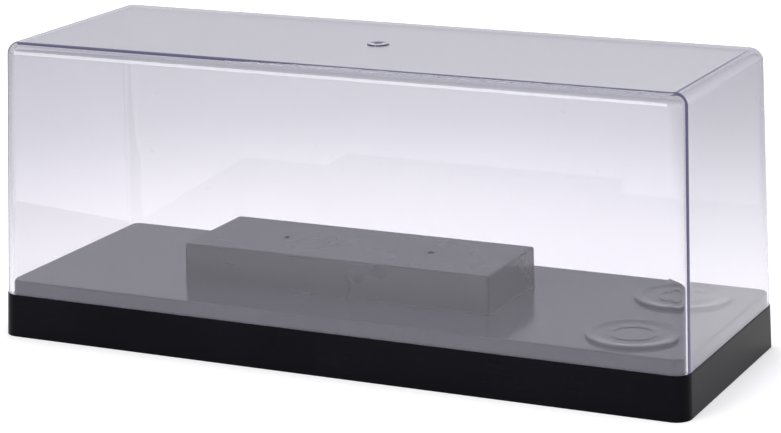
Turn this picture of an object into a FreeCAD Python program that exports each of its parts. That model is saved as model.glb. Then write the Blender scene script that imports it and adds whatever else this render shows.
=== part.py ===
import FreeCAD, Part
import math
import os

from FreeCAD import Vector

# Display case for one scale model, in millimetres.
# The origin is on the table, under the middle of the base.
# +X runs along the case towards the end with the discs, the front faces -Y and +Z is up.

# Base: skirt and ledge, measured at the skirt's top edge
base_length = 320.0
base_depth = 115.5
skirt_height = 19.2
skirt_draft_deg = 2.1
skirt_edge_round = 0.3
corner_radius = 7.1
smallest_radius = 0.5
base_wall = 2.2

# Base: raised deck that the cover fits round
deck_rise = 5.9
deck_thickness = 2.4
deck_draft_deg = 2.0
deck_edge_round = 1.2

# Base: low ribs and screw pads on the underside of the deck
rib_height = 3.5
rib_thickness = 1.4
cross_rib_count = 9
long_rib_count = 3
pad_diameter = 9.0

# Clear cover
cover_height = 112.6
cover_wall = 2.2
cover_draft_deg = 1.95
cover_edge_round = 5.4
cover_setback = 0.3
cover_clearance = 0.35

# Gate mark left by moulding, in the middle of the cover's top
gate_diameter = 9.6
gate_height = 0.6
gate_round = 0.3
gate_dimple_diameter = 4.4
gate_dimple_floor_diameter = 2.2
gate_dimple_depth = 0.5

# Plinth that carries the model
plinth_length = 146.0
plinth_depth = 52.0
plinth_height = 17.0
plinth_shift_x = -11.0
plinth_wall = 2.2
plinth_draft_deg = 0.8
plinth_corner_radius = 1.6
plinth_edge_round = 0.8
flange_width = 0.5
flange_height = 0.7
flange_round = 0.3

# Screws that hold the plinth from below, and the holes that take a model's own screws
screw_end_inset = 15.0
screw_side_inset = 11.0
screw_diameter = 2.9
screw_reach = 7.0
screw_tip_length = 1.6
screw_tip_diameter = 1.0
screw_head_diameter = 5.6
screw_head_height = 2.0
screw_head_round = 1.2
driver_slot_width = 0.9
driver_slot_length = 3.4
driver_slot_depth = 1.1
thread_clearance = 0.05
passage_clearance = 0.25
pilot_spare_depth = 1.5
boss_wall = 2.0
model_hole_spacing = 70.0
model_hole_diameter = 3.4

# Round discs at the right end of the deck
disc_diameter = 39.8
disc_height = 1.3
disc_rim_width = 1.6
disc_dish_width = 4.0
disc_recess = 0.5
disc_edge_round = 0.5
disc_ring_diameter = 20.0
disc_ring_width = 1.6
disc_ring_height = 0.3
disc_end_margin = 9.6
disc_side_margin = 5.8
spigot_diameter = 6.0
spigot_clearance = 0.15

# Heights and insets that follow from the sizes above
ledge_width = cover_setback + cover_wall + cover_clearance
ledge_z = skirt_height
deck_top_z = ledge_z + deck_rise
deck_under_z = deck_top_z - deck_thickness
rib_low_z = deck_under_z - rib_height
cover_top_z = ledge_z + cover_height
plinth_top_z = deck_top_z + plinth_height


def lean(angle_deg, height):
    """Sideways shift of a wall that leans by the draft angle over the height."""
    return height * math.tan(math.radians(angle_deg))


def rounded_outline(length, depth, radius, z):
    """Closed wire: a rectangle with arc corners, centred on the Z axis at height z."""
    half_x = length / 2
    half_y = depth / 2
    slack = radius * (1 - math.sqrt(0.5))
    edges = []
    for sign_x, sign_y in ((1, -1), (1, 1), (-1, 1), (-1, -1)):
        end_of_x_side = Vector(sign_x * (half_x - radius), sign_y * half_y, z)
        end_of_y_side = Vector(sign_x * half_x, sign_y * (half_y - radius), z)
        middle = Vector(sign_x * (half_x - slack), sign_y * (half_y - slack), z)
        first, last = end_of_x_side, end_of_y_side
        if sign_x * sign_y > 0:
            first, last = last, first
        edges.append((first, middle, last))
    shapes = []
    for index, (first, middle, last) in enumerate(edges):
        following = edges[(index + 1) % len(edges)][0]
        shapes.append(Part.Arc(first, middle, last).toShape())
        shapes.append(Part.LineSegment(last, following).toShape())
    return Part.Wire(shapes)


def drafted_block(length, depth, radius, low_z, high_z, draft_deg):
    """Solid on a rounded outline given at low_z, whose sides lean in by the draft angle up to high_z."""
    shrink = 2 * lean(draft_deg, high_z - low_z)
    low = rounded_outline(length, depth, radius, low_z)
    high = rounded_outline(length - shrink, depth - shrink, radius, high_z)
    return Part.makeLoft([low, high], True, True)


def edges_at(shape, z):
    """Edges of the shape that lie in the level plane at height z."""
    tolerance = 1e-4
    found = []
    for edge in shape.Edges:
        heights = [vertex.Z for vertex in edge.Vertexes] + [edge.CenterOfMass.z]
        if all(abs(height - z) < tolerance for height in heights):
            found.append(edge)
    return found


def inner_radius(radius, inset):
    """Corner radius of an outline set in from one of the given radius, never quite a sharp corner."""
    return max(radius - inset, smallest_radius)


def cylinder(diameter, low_z, high_z, x=0.0, y=0.0):
    """Upright round bar from low_z to high_z about a vertical axis at x, y."""
    return Part.makeCylinder(diameter / 2, high_z - low_z, Vector(x, y, low_z))


def box_about(length, depth, low_z, high_z, x=0.0, y=0.0):
    """Upright rectangular bar from low_z to high_z, centred at x, y."""
    return Part.makeBox(length, depth, high_z - low_z, Vector(x - length / 2, y - depth / 2, low_z))


def screw_places():
    """Name and place of each plinth screw."""
    places = {}
    for row, sign_y in (("front", -1), ("rear", 1)):
        for side, sign_x in (("left", -1), ("right", 1)):
            x = plinth_shift_x + sign_x * (plinth_length / 2 - screw_end_inset)
            y = sign_y * (plinth_depth / 2 - screw_side_inset)
            places["plinth_screw_" + row + "_" + side] = (x, y)
    return places


def model_hole_places():
    """Places of the two holes, on the plinth's centre line, that take a model's own screws."""
    return [(plinth_shift_x + sign * model_hole_spacing / 2, 0.0) for sign in (-1, 1)]


def disc_places():
    """Name and place of each disc, set in from the right end and the long sides of the deck."""
    x = base_length / 2 - ledge_width - disc_end_margin - disc_diameter / 2
    y = base_depth / 2 - ledge_width - disc_side_margin - disc_diameter / 2
    return {"front_disc": (x, -y), "rear_disc": (x, y)}


def make_base():
    """Black base: drafted skirt, ledge for the cover, raised deck, and a hollow underside with low ribs."""
    flare = 2 * lean(skirt_draft_deg, skirt_height)
    skirt = drafted_block(
        base_length + flare, base_depth + flare, corner_radius, 0, ledge_z, skirt_draft_deg
    )
    skirt = skirt.makeFillet(skirt_edge_round, edges_at(skirt, 0) + edges_at(skirt, ledge_z))
    deck_length = base_length - 2 * ledge_width
    deck_depth = base_depth - 2 * ledge_width
    deck_radius = inner_radius(corner_radius, ledge_width)
    deck = drafted_block(deck_length, deck_depth, deck_radius, ledge_z, deck_top_z, deck_draft_deg)
    deck = deck.makeFillet(deck_edge_round, edges_at(deck, deck_top_z))

    ledge_under_z = ledge_z - base_wall
    hollow_flare = 2 * lean(skirt_draft_deg, ledge_under_z)
    hollow_length = base_length + 2 * lean(skirt_draft_deg, base_wall) - 2 * base_wall
    hollow_depth = base_depth + 2 * lean(skirt_draft_deg, base_wall) - 2 * base_wall
    skirt_hollow = drafted_block(
        hollow_length + hollow_flare,
        hollow_depth + hollow_flare,
        inner_radius(corner_radius, base_wall),
        0,
        ledge_under_z,
        skirt_draft_deg,
    )
    under_deck_length = deck_length - 2 * base_wall
    under_deck_depth = deck_depth - 2 * base_wall
    under_deck_radius = inner_radius(deck_radius, base_wall)
    under_deck = drafted_block(
        under_deck_length, under_deck_depth, under_deck_radius, ledge_under_z, deck_under_z, deck_draft_deg
    )

    ribs = []
    for index in range(cross_rib_count):
        x = under_deck_length * ((index + 1) / (cross_rib_count + 1) - 0.5)
        ribs.append(box_about(rib_thickness, deck_depth, rib_low_z, deck_under_z, x=x))
    for index in range(long_rib_count):
        y = under_deck_depth * ((index + 1) / (long_rib_count + 1) - 0.5)
        ribs.append(box_about(deck_length, rib_thickness, rib_low_z, deck_under_z, y=y))
    pad_places = list(screw_places().values()) + model_hole_places() + list(disc_places().values())
    for x, y in pad_places:
        ribs.append(cylinder(pad_diameter, rib_low_z, deck_under_z, x, y))
    ribbing = ribs[0].multiFuse(ribs[1:]).common(under_deck)

    body = skirt.fuse(deck).cut(skirt_hollow).cut(under_deck.cut(ribbing))
    passage_diameter = screw_diameter + 2 * passage_clearance
    holes = [cylinder(passage_diameter, 0, deck_top_z, x, y) for x, y in screw_places().values()]
    holes += [cylinder(model_hole_diameter, 0, deck_top_z, x, y) for x, y in model_hole_places()]
    spigot_hole = spigot_diameter + 2 * spigot_clearance
    holes += [cylinder(spigot_hole, 0, deck_top_z, x, y) for x, y in disc_places().values()]
    return body.cut(holes).removeSplitter()


def make_cover():
    """Clear cover: a thin open box that leans in towards its top, with rounded top edges and a gate mark."""
    foot_length = base_length - 2 * cover_setback
    foot_depth = base_depth - 2 * cover_setback
    foot_radius = inner_radius(corner_radius, cover_setback)
    outside = drafted_block(foot_length, foot_depth, foot_radius, ledge_z, cover_top_z, cover_draft_deg)
    outside = outside.makeFillet(cover_edge_round, edges_at(outside, cover_top_z))

    inner_top_z = cover_top_z - cover_wall
    inside = drafted_block(
        foot_length - 2 * cover_wall,
        foot_depth - 2 * cover_wall,
        inner_radius(foot_radius, cover_wall),
        ledge_z,
        inner_top_z,
        cover_draft_deg,
    )
    inside = inside.makeFillet(inner_radius(cover_edge_round, cover_wall), edges_at(inside, inner_top_z))

    gate = cylinder(gate_diameter, cover_top_z - cover_wall / 2, cover_top_z + gate_height)
    gate = gate.makeFillet(gate_round, edges_at(gate, cover_top_z + gate_height))
    dimple_z = cover_top_z + gate_height - gate_dimple_depth
    dimple = Part.makeCone(
        gate_dimple_floor_diameter / 2, gate_dimple_diameter / 2, gate_dimple_depth, Vector(0, 0, dimple_z)
    )
    return outside.cut(inside).fuse(gate).cut(dimple).removeSplitter()


def make_plinth():
    """Hollow plinth on the deck: beaded foot, bosses for its own screws, tubes for a model's screws."""
    foot_length = plinth_length + 2 * flange_width
    foot_depth = plinth_depth + 2 * flange_width
    foot_radius = plinth_corner_radius + flange_width
    flange_top_z = deck_top_z + flange_height
    block = drafted_block(
        plinth_length, plinth_depth, plinth_corner_radius, deck_top_z, plinth_top_z, plinth_draft_deg
    )
    block = block.makeFillet(plinth_edge_round, edges_at(block, plinth_top_z))
    flange = drafted_block(foot_length, foot_depth, foot_radius, deck_top_z, flange_top_z, 0)
    flange = flange.makeFillet(flange_round, edges_at(flange, flange_top_z))
    ceiling_z = plinth_top_z - plinth_wall
    hollow = drafted_block(
        plinth_length - 2 * plinth_wall,
        plinth_depth - 2 * plinth_wall,
        plinth_corner_radius,
        deck_top_z,
        ceiling_z,
        plinth_draft_deg,
    )
    shell = block.fuse(flange).cut(hollow)

    pilot_diameter = screw_diameter + 2 * thread_clearance
    pilot_top_z = deck_top_z + screw_reach + pilot_spare_depth
    posts = []
    holes = []
    for x, y in screw_places().values():
        x_in_block = x - plinth_shift_x
        posts.append(cylinder(pilot_diameter + 2 * boss_wall, deck_top_z, ceiling_z, x_in_block, y))
        holes.append(cylinder(pilot_diameter, deck_top_z, pilot_top_z, x_in_block, y))
    for x, y in model_hole_places():
        x_in_block = x - plinth_shift_x
        posts.append(cylinder(model_hole_diameter + 2 * boss_wall, deck_top_z, ceiling_z, x_in_block, y))
        holes.append(cylinder(model_hole_diameter, deck_top_z, plinth_top_z, x_in_block, y))
    plinth = shell.fuse(posts).cut(holes).removeSplitter()
    plinth.translate(Vector(plinth_shift_x, 0, 0))
    return plinth


def make_screw(x, y):
    """Pan-head self-tapping screw, head down under its pad, with a cross recess for the driver."""
    seat_z = rib_low_z
    tip_z = deck_top_z + screw_reach
    head_low_z = seat_z - screw_head_height
    head = cylinder(screw_head_diameter, head_low_z, seat_z, x, y)
    head = head.makeFillet(screw_head_round, edges_at(head, head_low_z))
    shank = cylinder(screw_diameter, seat_z, tip_z - screw_tip_length, x, y)
    tip = Part.makeCone(
        screw_diameter / 2, screw_tip_diameter / 2, screw_tip_length, Vector(x, y, tip_z - screw_tip_length)
    )
    screw = head.fuse([shank, tip])
    slot_top_z = head_low_z + driver_slot_depth
    for length, width in (
        (driver_slot_length, driver_slot_width),
        (driver_slot_width, driver_slot_length),
    ):
        screw = screw.cut(box_about(length, width, head_low_z, slot_top_z, x, y))
    return screw.removeSplitter()


def make_disc(x, y):
    """Round disc: raised rim, dished face with a plain ring in it, and a spigot that the deck holds."""
    top_z = deck_top_z + disc_height
    disc = cylinder(disc_diameter, deck_top_z, top_z, x, y)
    disc = disc.makeFillet(disc_edge_round, edges_at(disc, top_z))
    floor_z = top_z - disc_recess
    dish_radius = disc_diameter / 2 - disc_rim_width
    recess = Part.makeCone(dish_radius - disc_dish_width, dish_radius, disc_recess, Vector(x, y, floor_z))
    ring = cylinder(disc_ring_diameter, floor_z, floor_z + disc_ring_height, x, y)
    ring = ring.cut(cylinder(disc_ring_diameter - 2 * disc_ring_width, floor_z, top_z, x, y))
    spigot = cylinder(spigot_diameter, deck_under_z, deck_top_z, x, y)
    return disc.cut(recess).fuse([ring, spigot]).removeSplitter()


def main():
    """Build every piece and write one file for each."""
    pieces = {"base": make_base(), "clear_cover": make_cover(), "plinth": make_plinth()}
    for name, (x, y) in screw_places().items():
        pieces[name] = make_screw(x, y)
    for name, (x, y) in disc_places().items():
        pieces[name] = make_disc(x, y)
    os.makedirs("parts", exist_ok=True)
    for name, shape in pieces.items():
        shape.exportStep("parts/" + name + ".step")
        box = shape.BoundBox
        print(
            name,
            "solids", len(shape.Solids),
            "valid", shape.isValid(),
            "volume", round(shape.Volume, 1),
            "x", round(box.XMin, 2), round(box.XMax, 2),
            "y", round(box.YMin, 2), round(box.YMax, 2),
            "z", round(box.ZMin, 2), round(box.ZMax, 2),
        )


main()
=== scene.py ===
"""Looks of a display case for one scale model.

A clear cover stands on a black skirted base with a plinth and discs. Lengths are in metres, in the
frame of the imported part: +X along the case, the front towards -Y, +Z up.
"""
import logging
import math
from dataclasses import dataclass, field
from enum import Enum

import bpy
import numpy as np
from mathutils import Matrix, Vector


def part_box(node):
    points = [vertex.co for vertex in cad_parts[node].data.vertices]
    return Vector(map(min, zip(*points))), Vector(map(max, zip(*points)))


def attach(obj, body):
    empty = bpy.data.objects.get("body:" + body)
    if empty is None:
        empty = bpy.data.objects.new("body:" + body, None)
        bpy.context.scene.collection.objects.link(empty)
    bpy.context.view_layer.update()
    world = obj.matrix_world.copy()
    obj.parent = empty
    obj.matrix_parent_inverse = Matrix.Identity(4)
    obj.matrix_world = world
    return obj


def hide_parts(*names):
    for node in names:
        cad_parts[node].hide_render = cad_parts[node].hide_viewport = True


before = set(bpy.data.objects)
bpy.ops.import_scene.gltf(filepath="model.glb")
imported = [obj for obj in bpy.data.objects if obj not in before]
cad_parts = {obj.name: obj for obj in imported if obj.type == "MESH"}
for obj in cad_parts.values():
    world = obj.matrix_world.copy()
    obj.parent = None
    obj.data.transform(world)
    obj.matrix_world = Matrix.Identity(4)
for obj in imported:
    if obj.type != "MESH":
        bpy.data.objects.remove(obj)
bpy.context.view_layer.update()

log = logging.getLogger("display_case")

MM = 0.001
QUARTER_TURN = np.pi / 2
FULL_TURN = 2 * np.pi

Array = np.ndarray
Colour = tuple[float, float, float]
Place = tuple[float, float, float]
Limits = tuple[float, float]
Material = bpy.types.Material
Mesh = bpy.types.Mesh
Node = bpy.types.Node
Socket = bpy.types.NodeSocket
Tree = bpy.types.NodeTree

WHITE: Colour = (1.0, 1.0, 1.0)


class Body(Enum):
    """The two bodies that pieces ride on."""

    BASE = "base"
    COVER = "cover"


class Slot(Enum):
    """Names of two of the record's material slots."""

    CLEAR = "clear_plastic"
    SCREW = "screw_steel"


# Surfaces on grids


def rounded_rings(half_x: Array, half_y: Array, radius: Array, z: Array, steps: int) -> Array:
    """Stacked rectangles with arc corners.

    A point is its corner's centre plus the corner's radius times the unit vector at an angle. The angles
    are four quarter turns, each holding both of its ends, so the straight sides lie between corners.

    Args:
        half_x: Half length of each ring.
        half_y: Half depth of each ring.
        radius: Corner radius of each ring.
        z: Height of each ring.
        steps: Steps along the arc of each corner.

    Returns:
        Points as rings by points by 3.
    """
    quarter = np.arange(4)[:, None] * QUARTER_TURN
    angle = (quarter + np.linspace(0.0, QUARTER_TURN, steps + 1)).ravel()
    side_x = np.repeat((1.0, -1.0, -1.0, 1.0), steps + 1)
    side_y = np.repeat((1.0, 1.0, -1.0, -1.0), steps + 1)
    x = side_x * (half_x - radius)[:, None] + radius[:, None] * np.cos(angle)
    y = side_y * (half_y - radius)[:, None] + radius[:, None] * np.sin(angle)
    return np.stack((x, y, np.broadcast_to(z[:, None], x.shape)), axis=-1)


def ring_angles(count: int) -> Array:
    """Evenly spaced angles of a whole turn, from half a step on."""
    return (np.arange(count) + 0.5) * (FULL_TURN / count)


def round_rings(radius: Array, z: Array, count: int) -> Array:
    """Stacked circles: the radius times the unit vector at evenly spaced angles.

    Args:
        radius: Radius of each ring, as rings by 1, or of each point, as rings by points.
        z: Height of each ring or point, in the same form.
        count: Points in a ring.

    Returns:
        Points as rings by points by 3.
    """
    angle = ring_angles(count)
    x = radius * np.cos(angle)
    y = radius * np.sin(angle)
    return np.stack((x, y, np.broadcast_to(z, x.shape)), axis=-1)


def closed_mesh(
    name: str, rings: Array, first_pole: Place, last_pole: Place, sharp_deg: float
) -> Mesh:
    """Closed mesh from stacked rings: quads between neighbours and a fan of triangles at each pole.

    Rings run counter-clockwise seen from above, so a wall whose rings climb faces outwards.

    Args:
        name: Name of the mesh.
        rings: Points as rings by points by 3.
        first_pole: Point that closes the first ring.
        last_pole: Point that closes the last ring.
        sharp_deg: Edges that turn by more than this stay sharp.

    Returns:
        The mesh, shaded smooth between its sharp edges.
    """
    rows, columns, _ = rings.shape
    here = np.arange(columns)
    after = (here + 1) % columns
    start = np.arange(rows - 1)[:, None] * columns
    following = start + columns
    quads = np.stack((start + here, start + after, following + after, following + here), axis=-1)
    last = (rows - 1) * columns
    first_tip = np.full(columns, rows * columns)
    first_fan = np.stack((first_tip, after, here), axis=-1)
    last_fan = np.stack((last + here, last + after, first_tip + 1), axis=-1)
    points = np.concatenate((rings.reshape(-1, 3), (first_pole, last_pole)))
    faces = quads.reshape(-1, 4).tolist() + first_fan.tolist() + last_fan.tolist()
    mesh = bpy.data.meshes.new(name)
    mesh.from_pydata(points.tolist(), [], faces)
    mesh.shade_smooth()
    mesh.set_sharp_from_angle(angle=math.radians(sharp_deg))
    return mesh


def place_piece(mesh: Mesh, material: Material, body: Body) -> bpy.types.Object:
    """Object at the origin that holds the mesh, wears the material and rides on the body.

    Args:
        mesh: The finished mesh, whose name the object takes.
        material: The finish of the whole piece.
        body: The body that it moves with.

    Returns:
        The new object.
    """
    piece = bpy.data.objects.new(mesh.name, mesh)
    bpy.context.scene.collection.objects.link(piece)
    mesh.materials.append(material)
    even = piece.modifiers.new("even_shading", "WEIGHTED_NORMAL")
    even.mode = "FACE_AREA"
    even.keep_sharp = True
    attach(piece, body.value)
    log.info("%s: %d faces, on %s", piece.name, len(mesh.polygons), body.value)
    return piece


def wear(node: str, *materials: Material) -> Mesh:
    """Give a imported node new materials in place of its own.

    Args:
        node: Name of the node.
        *materials: The finishes, by material index.

    Returns:
        The node's mesh, whose shape stays as it is.
    """
    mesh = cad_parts[node].data
    mesh.materials.clear()
    for material in materials:
        mesh.materials.append(material)
    names = ", ".join(material.name for material in materials)
    log.info("%s: %d faces, %s", node, len(mesh.polygons), names)
    return mesh


def smooth_step(value: Array) -> Array:
    """The cubic 3 t squared minus 2 t cubed, with t held between 0 and 1."""
    held = np.clip(value, 0.0, 1.0)
    return held * held * (3.0 - 2.0 * held)


# Shader building


class Board:
    """A shader node tree with short calls that place nodes and join them."""

    def __init__(self, tree: Tree) -> None:
        """Take over a tree and empty it."""
        self.tree = tree
        tree.nodes.clear()

    def add(self, kind: str, values: dict[str, object] | None = None, **settings: object) -> Node:
        """Place a node.

        Args:
            kind: Blender's name of the node type.
            values: Constants or sockets for inputs, by input name.
            **settings: Properties of the node itself.

        Returns:
            The new node.
        """
        node = self.tree.nodes.new(kind)
        for name, setting in settings.items():
            setattr(node, name, setting)
        for name, value in (values or {}).items():
            self.feed(node.inputs[name], value)
        return node

    def feed(self, target: Socket, value: object) -> None:
        """Join a socket to an input, or set the input's constant.

        Args:
            target: The input.
            value: Socket or constant; a constant colour has three parts and gets full alpha.
        """
        if isinstance(value, bpy.types.NodeSocket):
            self.tree.links.new(value, target)
        elif target.type == "RGBA":
            target.default_value = (*value, 1.0)
        else:
            target.default_value = value

    def math(self, operation: str, first: object, second: object = 0.0, third: object = 0.0) -> Socket:
        """Result of one arithmetic step.

        Args:
            operation: Blender's name of the operation.
            first: Constant or socket.
            second: Constant or socket.
            third: Constant or socket, for operations on three values.

        Returns:
            The result's socket.
        """
        node = self.add("ShaderNodeMath", operation=operation)
        for target, value in zip(node.inputs, (first, second, third)):
            self.feed(target, value)
        return node.outputs[0]

    def ease(self, value: Socket, limits: Limits) -> Socket:
        """A value eased from 0 at the lower limit to 1 at the upper one.

        Args:
            value: Socket to read.
            limits: Value that gives 0, as does any under it, and value that gives 1, as does any over it.

        Returns:
            The result's socket.
        """
        values = {"Value": value, "From Min": limits[0], "From Max": limits[1]}
        node = self.add("ShaderNodeMapRange", values, interpolation_type="SMOOTHSTEP")
        return node.outputs["Result"]

    def noise(self, place: Socket, scale: object, detail: float) -> Socket:
        """Cloudy noise between 0 and 1.

        Args:
            place: Socket of the place.
            scale: Constant or socket, in cells per metre.
            detail: How many finer layers it has.

        Returns:
            The result's socket.
        """
        values = {"Vector": place, "Scale": scale, "Detail": detail}
        return self.add("ShaderNodeTexNoise", values).outputs["Fac"]

    def blend(self, share: object, first: object, second: object) -> Socket:
        """Colour mixed from two by a share, which may be a mask.

        Args:
            share: Share of the second colour.
            first: Colour or socket.
            second: Colour or socket.

        Returns:
            The mixed colour's socket.
        """
        node = self.add("ShaderNodeMix", data_type="RGBA")
        factor = next(s for s in node.inputs if s.name == "Factor" and s.type == "VALUE")
        pair = [s for s in node.inputs if s.type == "RGBA"]
        self.feed(factor, share)
        for target, value in zip(pair, (first, second)):
            self.feed(target, value)
        return next(s for s in node.outputs if s.type == "RGBA")

    def object_place(self) -> Socket:
        """Object coordinates, which are the frame's own metres."""
        return self.add("ShaderNodeTexCoord").outputs["Object"]

    def height(self, place: Socket) -> Socket:
        """Height above the table, read from a place."""
        return self.add("ShaderNodeSeparateXYZ", {"Vector": place}).outputs["Z"]

    def relief(self, height: Socket) -> Socket:
        """Surface normal bent by a relief.

        Args:
            height: Socket of the relief's height in metres.

        Returns:
            The normal's socket.
        """
        values = {"Height": height, "Distance": 1.0, "Strength": 1.0}
        return self.add("ShaderNodeBump", values).outputs["Normal"]

    def finish(self, surface: Socket, volume: Socket | None = None) -> None:
        """Join the material's output.

        Args:
            surface: Socket of the surface's shader.
            volume: Socket of the shader of the depth, if there is one.
        """
        output = self.add("ShaderNodeOutputMaterial", {"Surface": surface})
        if volume is not None:
            self.feed(output.inputs["Volume"], volume)


def new_material(name: str) -> tuple[Material, Board]:
    """An empty node material, whose glow, if it gets one, isn't sampled as a lamp.

    Args:
        name: Name of the material.

    Returns:
        The material and the board of its tree.
    """
    material = bpy.data.materials.new(name)
    material.use_nodes = True
    material.cycles.emission_sampling = "NONE"
    return material, Board(material.node_tree)


@dataclass
class SharedGroups:
    """Node groups that several finishes use, each built once.

    Scales are in cells per metre, and limits are those of the noise between which a mask fades in.

    Attributes:
        speck_share: Height of the grain's finer noise beside its cells.
        haze_scale: Scale of the cloudy haze.
        haze_limits: Limits of the haze.
        rub_scale: Scale across the rub marks.
        rub_limits: Limits of the rub marks, close together for thin ones.
        patch_scale: Scale of the patches that rub marks lie in.
        patch_limits: Limits of these patches.
        largest_speck: Radius of the largest dust speck, in parts of the dust's pitch.
        speck_limits: Limits of a speck's soft edge, in parts of the dust's pitch.
        grain: The group of the moulded grain.
        traces: The group of the traces of handling.
    """

    speck_share: float = 0.6
    haze_scale: float = 14.0
    haze_limits: Limits = (0.30, 0.70)
    rub_scale: float = 900.0
    rub_limits: Limits = (0.60, 0.72)
    patch_scale: float = 31.0
    patch_limits: Limits = (0.50, 0.66)
    largest_speck: float = 0.10
    speck_limits: Limits = (0.0, 0.03)
    grain: Tree = field(init=False)
    traces: Tree = field(init=False)

    def __post_init__(self) -> None:
        """Build the groups."""
        self.grain = self._build_grain()
        self.traces = self._build_traces()

    @staticmethod
    def _open(
        name: str, inputs: dict[str, str], outputs: tuple[str, ...]
    ) -> tuple[Board, Node, Node]:
        """Start a node group with named sockets.

        Args:
            name: The group's name.
            inputs: Socket type by input name.
            outputs: Names of the outputs, which are all plain values.

        Returns:
            The group's board, its input node and its output node.
        """
        tree = bpy.data.node_groups.new(name, "ShaderNodeTree")
        board = Board(tree)
        for label, kind in inputs.items():
            tree.interface.new_socket(name=label, in_out="INPUT", socket_type=kind)
        for label in outputs:
            tree.interface.new_socket(name=label, in_out="OUTPUT", socket_type="NodeSocketFloat")
        return board, board.add("NodeGroupInput"), board.add("NodeGroupOutput")

    def _build_grain(self) -> Tree:
        """Relief of a moulded face: rounded cells broken up by finer noise, and a slow ripple.

        Returns:
            The group's tree.
        """
        board, given, result = self._open(
            "moulded_grain",
            {
                "Place": "NodeSocketVector",
                "Pitch": "NodeSocketFloat",
                "Ripple Pitch": "NodeSocketFloat",
            },
            ("Grain", "Ripple"),
        )
        place = given.outputs["Place"]
        fine = board.math("DIVIDE", 1.0, given.outputs["Pitch"])
        slow = board.math("DIVIDE", 1.0, given.outputs["Ripple Pitch"])
        cells = board.add(
            "ShaderNodeTexVoronoi", {"Vector": place, "Scale": fine}, feature="SMOOTH_F1"
        )
        specks = board.noise(place, fine, detail=3.0)
        grain = board.math("MULTIPLY_ADD", specks, self.speck_share, cells.outputs["Distance"])
        board.feed(result.inputs["Grain"], grain)
        board.feed(result.inputs["Ripple"], board.noise(place, slow, detail=1.0))
        return board.tree

    def _build_traces(self) -> Tree:
        """Traces of handling: cloudy haze, thin rub marks drawn out along one way, and dust specks.

        Returns:
            The group's tree.
        """
        board, given, result = self._open(
            "handling_traces",
            {
                "Place": "NodeSocketVector",
                "Rub Stretch": "NodeSocketVector",
                "Dust Pitch": "NodeSocketFloat",
            },
            ("Haze", "Rubs", "Dust"),
        )
        place = given.outputs["Place"]
        stretch = {"Vector": place, "Scale": given.outputs["Rub Stretch"]}
        drawn = board.add("ShaderNodeMapping", stretch).outputs["Vector"]
        haze = board.ease(board.noise(place, self.haze_scale, detail=4.0), self.haze_limits)
        thin = board.ease(board.noise(drawn, self.rub_scale, detail=2.0), self.rub_limits)
        where = board.ease(board.noise(place, self.patch_scale, detail=1.0), self.patch_limits)
        dust_scale = board.math("DIVIDE", 1.0, given.outputs["Dust Pitch"])
        cells = board.add("ShaderNodeTexVoronoi", {"Vector": place, "Scale": dust_scale})
        speck = board.math("MULTIPLY", cells.outputs["Color"], self.largest_speck)
        inside = board.math("SUBTRACT", speck, cells.outputs["Distance"])
        board.feed(result.inputs["Haze"], haze)
        board.feed(result.inputs["Rubs"], board.math("MULTIPLY", thin, where))
        board.feed(result.inputs["Dust"], board.ease(inside, self.speck_limits))
        return board.tree

    def place_grain(self, board: Board, place: Socket, pitch: float, ripple_pitch: float) -> Node:
        """Put the moulded grain into a material.

        Args:
            board: The board of the material.
            place: Socket of the place on the surface.
            pitch: Size of the grain's cells.
            ripple_pitch: Size of the slow ripple.

        Returns:
            The group's node.
        """
        values = {"Place": place, "Pitch": pitch, "Ripple Pitch": ripple_pitch}
        return board.add("ShaderNodeGroup", values, node_tree=self.grain)

    def place_traces(self, board: Board, place: Socket, stretch: Place, dust_pitch: float) -> Node:
        """Put the traces of handling into a material.

        Args:
            board: The board of the material.
            place: Socket of the place on the surface.
            stretch: Scale along each axis, small where rub marks are drawn out.
            dust_pitch: Distance between dust specks.

        Returns:
            The group's node.
        """
        values = {"Place": place, "Rub Stretch": stretch, "Dust Pitch": dust_pitch}
        return board.add("ShaderNodeGroup", values, node_tree=self.traces)


# Finishes


DUST_COLOUR: Colour = (0.42, 0.41, 0.40)


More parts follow.
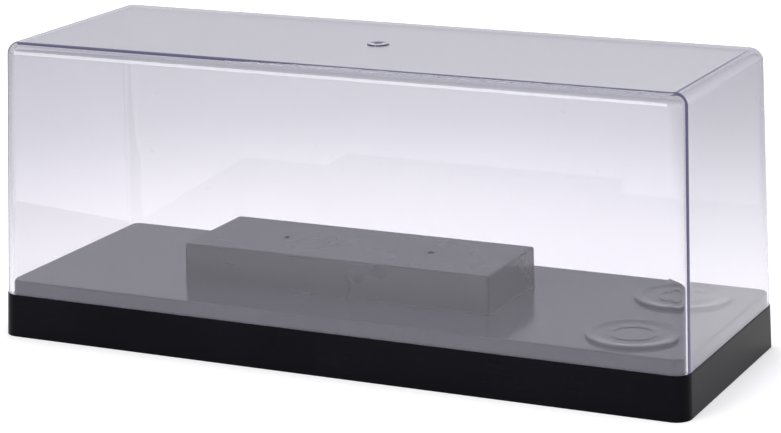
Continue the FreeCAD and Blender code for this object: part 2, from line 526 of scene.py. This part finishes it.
@dataclass(frozen=True)
class BlackPlastic:
    """Black moulded plastic with its own gloss, grain and traces of handling.

    Attributes:
        name: Name of the material.
        colour: Colour where the face is clean.
        haze_colour: Colour where the haze is thickest.
        roughness: Roughness where the face is clean.
        haze_roughness: Roughness that the haze adds.
        rub_roughness: Roughness that rub marks add.
        shine: Specular level.
        grain_pitch: Size of the grain's cells.
        grain_depth: Height of the grain.
        ripple_pitch: Size of the slow ripple.
        ripple_depth: Height of the slow ripple.
        dust_share: Share of the dust's colour on a speck.
        dust_pitch: Distance between dust specks.
        rub_stretch: Scale along each axis, small where rub marks are drawn out.
    """

    name: str
    colour: Colour
    haze_colour: Colour
    roughness: float
    haze_roughness: float
    rub_roughness: float
    shine: float
    grain_pitch: float
    grain_depth: float
    ripple_pitch: float
    ripple_depth: float
    dust_share: float
    dust_pitch: float = 3.0 * MM
    rub_stretch: Place = (0.06, 1.0, 1.0)

    def make(self, groups: SharedGroups) -> Material:
        """Build the material.

        Args:
            groups: The shared node groups.

        Returns:
            The new material.
        """
        material, board = new_material(self.name)
        place = board.object_place()
        grain = groups.place_grain(board, place, self.grain_pitch, self.ripple_pitch)
        traces = groups.place_traces(board, place, self.rub_stretch, self.dust_pitch)
        clean = board.blend(traces.outputs["Haze"], self.colour, self.haze_colour)
        dust = board.math("MULTIPLY", traces.outputs["Dust"], self.dust_share)
        colour = board.blend(dust, clean, DUST_COLOUR)
        hazed = board.math("MULTIPLY_ADD", traces.outputs["Haze"], self.haze_roughness, self.roughness)
        rough = board.math("MULTIPLY_ADD", traces.outputs["Rubs"], self.rub_roughness, hazed)
        slow = board.math("MULTIPLY", grain.outputs["Ripple"], self.ripple_depth)
        height = board.math("MULTIPLY_ADD", grain.outputs["Grain"], self.grain_depth, slow)
        shader = board.add(
            "ShaderNodeBsdfPrincipled",
            {
                "Base Color": colour,
                "Roughness": rough,
                "Normal": board.relief(height),
                "Specular IOR Level": self.shine,
            },
        )
        board.finish(shader.outputs["BSDF"])
        return material


@dataclass(frozen=True)
class ClearPlastic:
    """Clear moulded plastic with a cool tint in its depth, painted shade that greys its surface towards
    the top, and flow ripples.

    Attributes:
        name: Name of the material.
        ior: Index of refraction.
        painted_shade_at_foot: Surface colour at the foot, nearly clear, where the painted shade starts.
        painted_shade_at_top: Surface colour at the top, greyer: painted shade for light that falls off
            towards the top.
        depth_colour: Colour of light that has gone a long way through the plastic.
        depth_density: How strongly the depth absorbs, per metre.
        glow_colour: Colour of the faint glow, which stands in for light scattered in the depth.
        glow: Strength of that glow.
        shade_tint: Tint of the lamps' light that comes through.
        roughness: Roughness where the face is clean.
        rub_roughness: Roughness that rub marks add.
        ripple_pitch: Size of the flow ripples.
        ripple_depth: Height of the flow ripples.
        dust_share: Share of the dust's colour on a speck.
        dust_pitch: Distance between dust specks.
        rub_stretch: Scale along each axis, small where rub marks are drawn out.
    """

    name: str
    ior: float
    # Painted shade: the surface colour greys by height from the foot to the top.
    painted_shade_at_foot: Colour
    painted_shade_at_top: Colour
    depth_colour: Colour
    depth_density: float
    glow_colour: Colour
    glow: float
    shade_tint: Colour
    roughness: float
    rub_roughness: float
    ripple_pitch: float
    ripple_depth: float
    dust_share: float
    dust_pitch: float = 9.0 * MM
    rub_stretch: Place = (1.0, 1.0, 0.06)

    def make(self, groups: SharedGroups, low_z: float, high_z: float) -> Material:
        """Build the material, which lets lamps shine through.

        Args:
            groups: The shared node groups.
            low_z: Height of the cover's foot.
            high_z: Height of the cover's top.

        Returns:
            The new material.
        """
        material, board = new_material(self.name)
        place = board.object_place()
        grain = groups.place_grain(board, place, self.ripple_pitch, self.ripple_pitch)
        traces = groups.place_traces(board, place, self.rub_stretch, self.dust_pitch)
        # Painted shade: the surface colour greys by height from the cover's foot to its top.
        climb = board.ease(board.height(place), (low_z, high_z))
        painted_shade_by_height = board.blend(climb, self.painted_shade_at_foot, self.painted_shade_at_top)
        dust = board.math("MULTIPLY", traces.outputs["Dust"], self.dust_share)
        tint = board.blend(dust, painted_shade_by_height, DUST_COLOUR)
        rough = board.math("MULTIPLY_ADD", traces.outputs["Rubs"], self.rub_roughness, self.roughness)
        height = board.math("MULTIPLY", grain.outputs["Ripple"], self.ripple_depth)
        glass = board.add(
            "ShaderNodeBsdfPrincipled",
            {
                "Base Color": tint,
                "Roughness": rough,
                "Normal": board.relief(height),
                "IOR": self.ior,
                "Transmission Weight": 1.0,
                "Emission Color": self.glow_colour,
                "Emission Strength": self.glow,
            },
        )
        passing = board.add("ShaderNodeBsdfTransparent", {"Color": self.shade_tint})
        path = board.add("ShaderNodeLightPath")
        mixed = board.add("ShaderNodeMixShader", {"Fac": path.outputs["Is Shadow Ray"]})
        board.feed(mixed.inputs[1], glass.outputs["BSDF"])
        board.feed(mixed.inputs[2], passing.outputs["BSDF"])
        depth = board.add(
            "ShaderNodeVolumeAbsorption",
            {"Color": self.depth_colour, "Density": self.depth_density},
        )
        board.finish(mixed.outputs[0], depth.outputs["Volume"])
        return material


@dataclass(frozen=True)
class PlatedSteel:
    """Zinc-plated steel with a fine grain and a cloudy plating tone.

    Attributes:
        name: Name of the material.
        colour: Colour of the plating.
        cloud_colour: Colour of its clouds.
        roughness: Roughness where the face is clean.
        haze_roughness: Roughness that the haze adds.
        grain_pitch: Size of the grain's cells.
        grain_depth: Height of the grain.
        cloud_cells: Size of a cloud, in cells of the grain.
        dust_pitch: Distance between dust specks.
        rub_stretch: Scale of rub marks along each axis.
    """

    name: str
    colour: Colour
    cloud_colour: Colour
    roughness: float
    haze_roughness: float
    grain_pitch: float
    grain_depth: float
    cloud_cells: float = 20.0
    dust_pitch: float = 1.0 * MM
    rub_stretch: Place = (1.0, 1.0, 1.0)

    def make(self, groups: SharedGroups) -> Material:
        """Build the material.

        Args:
            groups: The shared node groups.

        Returns:
            The new material.
        """
        material, board = new_material(self.name)
        place = board.object_place()
        traces = groups.place_traces(board, place, self.rub_stretch, self.dust_pitch)
        cloud_pitch = self.cloud_cells * self.grain_pitch
        grain = groups.place_grain(board, place, self.grain_pitch, cloud_pitch)
        tone = board.blend(grain.outputs["Ripple"], self.colour, self.cloud_colour)
        rough = board.math("MULTIPLY_ADD", traces.outputs["Haze"], self.haze_roughness, self.roughness)
        height = board.math("MULTIPLY", grain.outputs["Grain"], self.grain_depth)
        shader = board.add(
            "ShaderNodeBsdfPrincipled",
            {
                "Base Color": tone,
                "Roughness": rough,
                "Normal": board.relief(height),
                "Metallic": 1.0,
            },
        )
        board.finish(shader.outputs["BSDF"])
        return material


SKIRT_FINISH = BlackPlastic(
    name="skirt_satin_black",
    colour=(0.0018, 0.0016, 0.0030),
    haze_colour=(0.0028, 0.0026, 0.0042),
    roughness=0.22,
    haze_roughness=0.06,
    rub_roughness=0.10,
    shine=0.05,
    grain_pitch=0.45 * MM,
    grain_depth=0.0030 * MM,
    ripple_pitch=26 * MM,
    ripple_depth=0.010 * MM,
    dust_share=0.05,
)
DECK_FINISH = BlackPlastic(
    name="deck_gloss_black",
    colour=(0.022, 0.021, 0.025),
    haze_colour=(0.028, 0.027, 0.031),
    roughness=0.10,
    haze_roughness=0.05,
    rub_roughness=0.10,
    shine=0.34,
    grain_pitch=0.60 * MM,
    grain_depth=0.0006 * MM,
    ripple_pitch=30 * MM,
    ripple_depth=0.012 * MM,
    dust_share=0.06,
)
PLINTH_FINISH = BlackPlastic(
    name="plinth_semi_gloss_black",
    colour=(0.012, 0.012, 0.014),
    haze_colour=(0.013, 0.013, 0.015),
    roughness=0.26,
    haze_roughness=0.03,
    rub_roughness=0.03,
    shine=0.45,
    grain_pitch=0.40 * MM,
    grain_depth=0.0010 * MM,
    ripple_pitch=22 * MM,
    ripple_depth=0.004 * MM,
    dust_share=0.02,
)
DISC_FINISH = BlackPlastic(
    name="disc_gloss_black",
    colour=(0.012, 0.012, 0.014),
    haze_colour=(0.016, 0.016, 0.018),
    roughness=0.07,
    haze_roughness=0.04,
    rub_roughness=0.08,
    shine=0.70,
    grain_pitch=0.35 * MM,
    grain_depth=0.0010 * MM,
    ripple_pitch=9 * MM,
    ripple_depth=0.006 * MM,
    dust_share=0.05,
)
COVER_FINISH = ClearPlastic(
    name="clear_cover_plastic",
    ior=1.52,
    # Painted shade: the cover's surface greys towards its top.
    painted_shade_at_foot=(1.0, 0.987, 0.980),
    painted_shade_at_top=(0.910, 0.906, 0.911),
    depth_colour=(0.25, 0.23, 0.46),
    depth_density=56.0,
    glow_colour=(0.66, 0.62, 1.0),
    glow=0.018,
    shade_tint=(0.90, 0.90, 0.92),
    roughness=0.0,
    rub_roughness=0.004,
    ripple_pitch=40 * MM,
    ripple_depth=0.010 * MM,
    dust_share=0.25,
)
SCREW_FINISH = PlatedSteel(
    name="zinc_plated_steel",
    colour=(0.62, 0.62, 0.64),
    cloud_colour=(0.50, 0.51, 0.55),
    roughness=0.26,
    haze_roughness=0.12,
    grain_pitch=0.12 * MM,
    grain_depth=0.0015 * MM,
)


# Sub-assemblies


@dataclass(frozen=True)
class Skin:
    """One skin of the cover: its plan at the foot, its round and its heights.

    Attributes:
        half_x: Half length at the foot.
        half_y: Half depth at the foot.
        corner_radius: Plan radius of the corners.
        edge_round: Radius of the round between wall and top.
        foot_z: Height of the foot.
        top_z: Height of the flat top.
    """

    half_x: float
    half_y: float
    corner_radius: float
    edge_round: float
    foot_z: float
    top_z: float

    def lined(self, wall: float) -> "Skin":
        """The skin inside this one, on the same foot.

        Args:
            wall: Distance between the two.

        Returns:
            The inner skin.
        """
        return Skin(
            half_x=self.half_x - wall,
            half_y=self.half_y - wall,
            corner_radius=self.corner_radius - wall,
            edge_round=self.edge_round - wall,
            foot_z=self.foot_z,
            top_z=self.top_z - wall,
        )


@dataclass
class ClearCover:
    """Thin clear cover that leans in towards its top, with rounded edges and a gate mark on its top."""

    wall: float = 2.2 * MM
    draft_deg: float = 1.95
    edge_round: float = 5.4 * MM
    corner_radius: float = 6.8 * MM
    gate_radius: float = 4.8 * MM
    gate_height: float = 0.6 * MM
    gate_round: float = 0.3 * MM
    dimple_radius: float = 2.2 * MM
    dimple_floor_radius: float = 1.1 * MM
    dimple_depth: float = 0.5 * MM
    seat_gap: float = 0.02 * MM
    corner_steps: int = 16
    round_steps: int = 12
    rim_points: int = 5
    wall_rows: int = 4
    sharp_deg: float = 40.0

    def _rising_rings(self, skin: Skin) -> Array:
        """Rings of one skin, from its foot to where its top is flat.

        The wall moves in by the tangent of the draft times the climb. The round is an arc that leaves the
        wall and meets the top smoothly, and the plan corner shrinks by as much as the arc moves in.

        Args:
            skin: The skin's sizes.

        Returns:
            Points as rings by points by 3.
        """
        draft = math.radians(self.draft_deg)
        centre_z = skin.top_z - skin.edge_round
        turn = np.linspace(draft, QUARTER_TURN, self.round_steps + 1)
        round_z = centre_z + skin.edge_round * np.sin(turn)
        wall_z = np.linspace(skin.foot_z, round_z[0], self.wall_rows)
        wall_in = (wall_z - skin.foot_z) * math.tan(draft)
        round_in = wall_in[-1] + skin.edge_round * (np.cos(draft) - np.cos(turn))
        inset = np.concatenate((wall_in, round_in[1:]))
        corner = skin.corner_radius - np.clip(inset - wall_in[-1], 0.0, None)
        z = np.concatenate((wall_z, round_z[1:]))
        half_x = skin.half_x - inset
        half_y = skin.half_y - inset
        return rounded_rings(half_x, half_y, corner, z, self.corner_steps)

    def _gate_rings(self, top_z: float, count: int) -> Array:
        """Rings of the gate mark, from the flat top inwards.

        They are a low riser with a rounded rim, a flat, and a cone down to the dimple's floor.

        Args:
            top_z: Height of the flat top that it stands on.
            count: Points in a ring.

        Returns:
            Points as rings by points by 3.
        """
        turn = np.linspace(0.0, QUARTER_TURN, self.rim_points)
        rim_radius = self.gate_radius - self.gate_round * (1 - np.cos(turn))
        rim_z = self.gate_height - self.gate_round * (1 - np.sin(turn))
        dimple_radius = (self.dimple_radius, self.dimple_floor_radius)
        dimple_z = (self.gate_height, self.gate_height - self.dimple_depth)
        radius = np.concatenate(((self.gate_radius,), rim_radius, dimple_radius))
        rise = np.concatenate(((0.0,), rim_z, dimple_z))
        return round_rings(radius[:, None], top_z + rise[:, None], count)

    def build(self, finish: ClearPlastic, groups: SharedGroups) -> None:
        """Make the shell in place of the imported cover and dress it.

        The rings run down the inner skin, across the foot and up the outer skin to the gate mark.

        Args:
            finish: The clear plastic.
            groups: The shared node groups.
        """
        low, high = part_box("clear_cover")
        outside = Skin(
            half_x=high.x,
            half_y=high.y,
            corner_radius=self.corner_radius,
            edge_round=self.edge_round,
            foot_z=low.z + self.seat_gap,
            top_z=high.z - self.gate_height,
        )
        inside = outside.lined(self.wall)
        outer = self._rising_rings(outside)
        inner = self._rising_rings(inside)
        count = outer.shape[1]
        ceiling = round_rings(np.array([[self.gate_radius]]), np.array([[inside.top_z]]), count)
        gate = self._gate_rings(outside.top_z, count)
        rings = np.concatenate((ceiling, inner[::-1], outer, gate))
        dimple_z = outside.top_z + self.gate_height - self.dimple_depth
        poles = (0, 0, inside.top_z), (0, 0, dimple_z)
        mesh = closed_mesh("clear_cover_shell", rings, *poles, self.sharp_deg)
        material = finish.make(groups, outside.foot_z, outside.top_z)
        piece = place_piece(mesh, material, Body.COVER)
        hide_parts("clear_cover")


@dataclass
class BlackBase:
    """Black base: a satin skirt and underside, and a glossy deck and ledge."""

    level_tolerance: float = 0.01 * MM

    def dress(self, skirt: BlackPlastic, deck: BlackPlastic, groups: SharedGroups) -> None:
        """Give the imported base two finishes: faces from the cover's foot upwards take the deck's.

        Args:
            skirt: Finish of the skirt and the underside.
            deck: Finish of the deck and the ledge.
            groups: The shared node groups.
        """
        mesh = wear("base", skirt.make(groups), deck.make(groups))
        ledge_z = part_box("clear_cover")[0].z
        places = np.empty(len(mesh.vertices) * 3, np.float32)
        mesh.vertices.foreach_get("co", places)
        corners = np.empty(len(mesh.loops), np.int32)
        mesh.loops.foreach_get("vertex_index", corners)
        heights = places[2::3]
        low_corner = heights[corners].reshape(-1, 3).min(axis=1)
        on_deck = low_corner > ledge_z - self.level_tolerance
        mesh.polygons.foreach_set("material_index", on_deck.astype(np.int32))
        mesh.update()


@dataclass
class PlinthScrews:
    """Four pan-head screws, head down, with cross recesses and rolled threads."""

    names: tuple[str, ...] = (
        "plinth_screw_front_left",
        "plinth_screw_front_right",
        "plinth_screw_rear_left",
        "plinth_screw_rear_right",
    )
    head_height: float = 2.0 * MM
    head_round: float = 1.2 * MM
    seat_chamfer: float = 0.1 * MM
    recess_depth: float = 1.1 * MM
    recess_length: float = 3.4 * MM
    recess_width: float = 0.9 * MM
    recess_taper: float = 0.25 * MM
    crest_radius: float = 1.45 * MM
    core_radius: float = 1.08 * MM
    pitch: float = 1.1 * MM
    plain_length: float = 1.2 * MM
    tip_length: float = 2.4 * MM
    tip_radius: float = 0.15 * MM
    ridge_share: float = 0.55
    count: int = 96
    rows_in_pitch: int = 12
    face_rows: int = 40
    first_row: float = 0.02
    edge_points: int = 9
    sharp_deg: float = 50.0

    def _recess(self, radius: Array, angle: Array) -> Array:
        """Depth of the cross recess: two crossed bars whose sides fall away over the taper.

        Args:
            radius: Distance of each point from the axis.
            angle: Angle of each point.

        Returns:
            Depth at each point.
        """
        x = np.abs(radius * np.cos(angle))
        y = np.abs(radius * np.sin(angle))
        long_half = self.recess_length / 2
        short_half = self.recess_width / 2
        along = np.minimum(long_half - x, short_half - y)
        across = np.minimum(short_half - x, long_half - y)
        return self.recess_depth * smooth_step(np.maximum(along, across) / self.recess_taper + 0.5)

    def _head_rings(self, low_z: float, head_radius: float) -> Array:
        """Rings of a head on the Z axis, from the middle of its face to its seat.

        The face is flat with a rounded edge, sunk by the recess. The side is straight and ends in a
        small chamfer.

        Args:
            low_z: Height of the head's face.
            head_radius: Radius of the head.

        Returns:
            Points as rings by points by 3.
        """
        flat_radius = head_radius - self.head_round
        turn = np.linspace(0.0, QUARTER_TURN, self.edge_points)
        face_radius = np.linspace(self.first_row, 1.0, self.face_rows) * flat_radius
        edge_radius = flat_radius + self.head_round * np.sin(turn)
        edge_z = self.head_round * (1 - np.cos(turn))
        side_radius = np.array((head_radius, head_radius - self.seat_chamfer))
        side_z = np.array((self.head_height - self.seat_chamfer, self.head_height))
        radius = np.concatenate((face_radius, edge_radius[1:], side_radius))[:, None]
        rise = np.concatenate((np.zeros(self.face_rows), edge_z[1:], side_z))[:, None]
        radius = np.repeat(radius, self.count, axis=1)
        sunk = self._recess(radius, ring_angles(self.count)) * (rise < self.head_round)
        return round_rings(radius, low_z + rise + sunk, self.count)

    def _shank_rings(self, seat_z: float, tip_z: float) -> Array:
        """Rings of a shank on the Z axis, from the head's seat to the tip.

        The radius is the core's, plus a ridge that climbs one pitch in each turn, and it closes in over
        the tip.

        Args:
            seat_z: Height of the head's seat.
            tip_z: Height of the tip.

        Returns:
            Points as rings by points by 3.
        """
        rows = int((tip_z - seat_z) / self.pitch * self.rows_in_pitch)
        z = np.linspace(seat_z, tip_z, rows)[:, None]
        phase = (z / self.pitch - ring_angles(self.count) / FULL_TURN) % 1.0
        ridge = smooth_step(1.0 - np.abs(2.0 * phase - 1.0) / self.ridge_share)
        starts = smooth_step((z - seat_z - self.plain_length) / self.pitch)
        point = smooth_step((tip_z - z) / self.tip_length)
        core = self.tip_radius + (self.core_radius - self.tip_radius) * point
        radius = core + (self.crest_radius - self.core_radius) * ridge * starts * point
        return round_rings(radius, z, self.count)

    def build(self, finish: PlatedSteel, groups: SharedGroups) -> None:
        """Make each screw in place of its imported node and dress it.

        Args:
            finish: The plated steel.
            groups: The shared node groups.
        """
        material = finish.make(groups)
        for name in self.names:
            low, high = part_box(name)
            centre = (low + high) / 2
            head = self._head_rings(low.z, (high.x - low.x) / 2)
            shank = self._shank_rings(low.z + self.head_height, high.z)
            rings = np.concatenate((head, shank)) + np.array((centre.x, centre.y, 0.0))
            face_z = low.z + self.recess_depth
            poles = (centre.x, centre.y, face_z), (centre.x, centre.y, high.z)
            mesh = closed_mesh(name + "_threaded", rings, *poles, self.sharp_deg)
            piece = place_piece(mesh, material, Body.BASE)
            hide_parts(name)


@dataclass
class DeckFittings:
    """Plinth and discs that stand on the deck, kept as imported."""

    disc_names: tuple[str, ...] = ("front_disc", "rear_disc")

    def dress(self, plinth: BlackPlastic, disc: BlackPlastic, groups: SharedGroups) -> None:
        """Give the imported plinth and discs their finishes.

        Args:
            plinth: Finish of the plinth.
            disc: Finish of both discs.
            groups: The shared node groups.
        """
        wear("plinth", plinth.make(groups))
        disc_material = disc.make(groups)
        for name in self.disc_names:
            wear(name, disc_material)


# Studio


@dataclass(frozen=True)
class SoftBox:
    """A rectangular soft lamp aimed at a point.

    Attributes:
        name: Name of the lamp.
        place: Where it hangs.
        aim: Point that it faces.
        width: Size along its own X.
        depth: Size along its own Y.
        watts: Power.
        in_gloss: Whether glossy faces mirror it.
        colour: Colour of its light.
    """

    name: str
    place: Place
    aim: Place
    width: float
    depth: float
    watts: float
    in_gloss: bool = True
    colour: Colour = WHITE

    def build(self) -> None:
        """Hang the lamp."""
        lamp = bpy.data.lights.new(self.name, "AREA")
        lamp.shape = "RECTANGLE"
        lamp.size = self.width
        lamp.size_y = self.depth
        lamp.energy = self.watts
        lamp.color = self.colour
        stand = bpy.data.objects.new(self.name, lamp)
        stand.location = self.place
        stand.rotation_mode = "QUATERNION"
        towards = Vector(self.aim) - Vector(self.place)
        stand.rotation_quaternion = towards.to_track_quat("-Z", "Y")
        stand.visible_transmission = False
        stand.visible_glossy = self.in_gloss
        bpy.context.scene.collection.objects.link(stand)


@dataclass(frozen=True)
class PhotoCamera:
    """Camera at the photograph's viewing angle, worked out from the case's edges."""

    azimuth_deg: float = 25.539
    elevation_deg: float = 14.561
    roll_deg: float = -1.0
    distance: float = 1.16548
    target: Place = (0.004414, 0.0, 0.056179)
    lens_mm: float = 123.77
    sensor_mm: float = 36.0

    def build(self) -> None:
        """Set up the camera: it looks along minus its back axis, rolled about that axis."""
        azimuth = math.radians(self.azimuth_deg)
        elevation = math.radians(self.elevation_deg)
        roll = math.radians(self.roll_deg)
        level = math.cos(elevation)
        back = Vector((math.sin(azimuth) * level, -math.cos(azimuth) * level, math.sin(elevation)))
        right = Vector((0, 0, 1)).cross(back).normalized()
        up = back.cross(right)
        rolled_right = math.cos(roll) * right + math.sin(roll) * up
        rolled_up = math.cos(roll) * up - math.sin(roll) * right
        data = bpy.data.cameras.new("photo_camera")
        data.sensor_fit = "HORIZONTAL"
        data.sensor_width = self.sensor_mm
        data.lens = self.lens_mm
        camera = bpy.data.objects.new("photo_camera", data)
        turn = Matrix((rolled_right, rolled_up, back)).transposed().to_4x4()
        place = Vector(self.target) + back * self.distance
        camera.matrix_world = Matrix.Translation(place) @ turn
        bpy.context.scene.collection.objects.link(camera)
        bpy.context.scene.camera = camera


@dataclass
class Studio:
    """Pale floor, soft sky and lamps.

    The floor and the sky are lifted towards white for the camera's own rays. They are lifted less for
    rays in gloss and through glass, so that these show a pale background too.

    Attributes:
        floor_size: Side of the square floor.
        floor_drop: Depth of the floor under the foot of the case.
        floor_colour: Colour of its paper.
        floor_roughness: Roughness of its paper.
        near_floor: Distance from the middle up to which the floor counts as near.
        far_floor: Distance from which on it counts as far.
        near_lift: Lift of the near floor for the camera.
        far_lift: Lift of the far floor for the camera.
        glass_reach: Distance at which the floor's lift in gloss and glass has faded.
        glass_lift: That lift on the near floor.
        sky_lift: Lift of the sky for the camera, in parts of its strength.
        sky_glass_share: Share of that lift in gloss and glass.
        path_bounces: Most bounces of a light path, enough for the cover's walls.
        horizon_colour: Colour of the sky at the horizon.
        zenith_colour: Colour of the sky overhead.
        zenith_rise: Rise of a direction from which on the sky has its colour overhead.
        lamps: The soft boxes.
    """

    floor_size: float = 12.0
    floor_drop: float = 0.05 * MM
    floor_colour: Colour = (0.82, 0.82, 0.82)
    floor_roughness: float = 0.9
    near_floor: float = 0.15
    far_floor: float = 0.75
    near_lift: float = 0.34
    far_lift: float = 0.66
    glass_reach: float = 0.50
    glass_lift: float = 0.30
    sky_lift: float = 0.8
    sky_glass_share: float = 0.12
    path_bounces: int = 24
    horizon_colour: Colour = (0.66, 0.66, 0.68)
    zenith_colour: Colour = (0.50, 0.50, 0.51)
    zenith_rise: float = 0.8
    lamps: tuple[SoftBox, ...] = field(
        default_factory=lambda: (
            SoftBox("top_box", (-0.08, 0.18, 0.55), (-0.08, 0.18, 0.0), 0.4, 0.3, 1.6),
            SoftBox(
                "right_box", (0.42, -0.42, 0.42), (0.10, -0.20, 0.0), 0.3, 0.3, 1.5, in_gloss=False
            ),
            SoftBox("front_box", (-0.50, -1.05, 0.40), (0.0, 0.0, 0.12), 0.9, 0.5, 9.0),
        )
    )

    @staticmethod
    def _ray_masks(board: Board) -> tuple[Socket, Socket]:
        """Masks of the rays for which the floor and the sky are lifted.

        Args:
            board: The board of the floor's or the sky's tree.

        Returns:
            Mask of the camera's own rays, and mask of rays in gloss and through glass.
        """
        path = board.add("ShaderNodeLightPath").outputs
        in_glass = board.math("MAXIMUM", path["Is Glossy Ray"], path["Is Transmission Ray"])
        return path["Is Camera Ray"], in_glass

    def _build_floor(self) -> None:
        """Lay the floor just under the foot of the case."""
        half = self.floor_size / 2
        z = -self.floor_drop
        corners = [(-half, -half, z), (half, -half, z), (half, half, z), (-half, half, z)]
        mesh = bpy.data.meshes.new("studio_floor")
        mesh.from_pydata(corners, [], [(0, 1, 2, 3)])
        floor = bpy.data.objects.new("studio_floor", mesh)
        bpy.context.scene.collection.objects.link(floor)
        material, board = new_material("studio_floor_paper")
        place = {"Vector": board.object_place()}
        reach = board.add("ShaderNodeVectorMath", place, operation="LENGTH").outputs["Value"]
        seen, in_glass = self._ray_masks(board)
        away = board.ease(reach, (self.near_floor, self.far_floor))
        more_lift = self.far_lift - self.near_lift
        seen_lift = board.math("MULTIPLY_ADD", away, more_lift, self.near_lift)
        beyond = board.ease(reach, (self.near_floor, self.glass_reach))
        glass_lift = board.math("MULTIPLY_ADD", beyond, -self.glass_lift, self.glass_lift)
        in_glass_lift = board.math("MULTIPLY", in_glass, glass_lift)
        lift = board.math("MULTIPLY_ADD", seen, seen_lift, in_glass_lift)
        shader = board.add(
            "ShaderNodeBsdfPrincipled",
            {
                "Base Color": self.floor_colour,
                "Roughness": self.floor_roughness,
                "Specular IOR Level": 0.0,
                "Emission Color": WHITE,
                "Emission Strength": lift,
            },
        )
        board.finish(shader.outputs["BSDF"])
        mesh.materials.append(material)

    def _build_sky(self) -> None:
        """Light the room from a soft sky, a little brighter at the horizon than overhead."""
        world = bpy.data.worlds.new("studio_sky")
        world.use_nodes = True
        board = Board(world.node_tree)
        direction = board.add("ShaderNodeTexCoord").outputs["Generated"]
        climb = board.ease(board.height(direction), (0.0, self.zenith_rise))
        colour = board.blend(climb, self.horizon_colour, self.zenith_colour)
        seen, in_glass = self._ray_masks(board)
        share = board.math("MULTIPLY_ADD", in_glass, self.sky_glass_share, seen)
        strength = board.math("MULTIPLY_ADD", share, self.sky_lift, 1.0)
        background = board.add("ShaderNodeBackground", {"Color": colour, "Strength": strength})
        board.add("ShaderNodeOutputWorld", {"Surface": background.outputs["Background"]})
        bpy.context.scene.world = world

    def build(self) -> None:
        """Set up floor, sky, lamps and view settings."""
        self._build_floor()
        self._build_sky()
        for lamp in self.lamps:
            lamp.build()
        scene = bpy.context.scene
        scene.view_settings.view_transform = "Standard"
        scene.cycles.max_bounces = self.path_bounces
        scene.cycles.glossy_bounces = self.path_bounces
        scene.cycles.transmission_bounces = self.path_bounces


def main() -> None:
    """Dress the case, set up the studio and report each piece."""
    logging.basicConfig(level=logging.INFO, format="%(name)s: %(message)s")
    groups = SharedGroups()
    BlackBase().dress(SKIRT_FINISH, DECK_FINISH, groups)
    DeckFittings().dress(PLINTH_FINISH, DISC_FINISH, groups)
    PlinthScrews().build(SCREW_FINISH, groups)
    ClearCover().build(COVER_FINISH, groups)
    Studio().build()
    PhotoCamera().build()


if __name__ == "__main__":
    main()
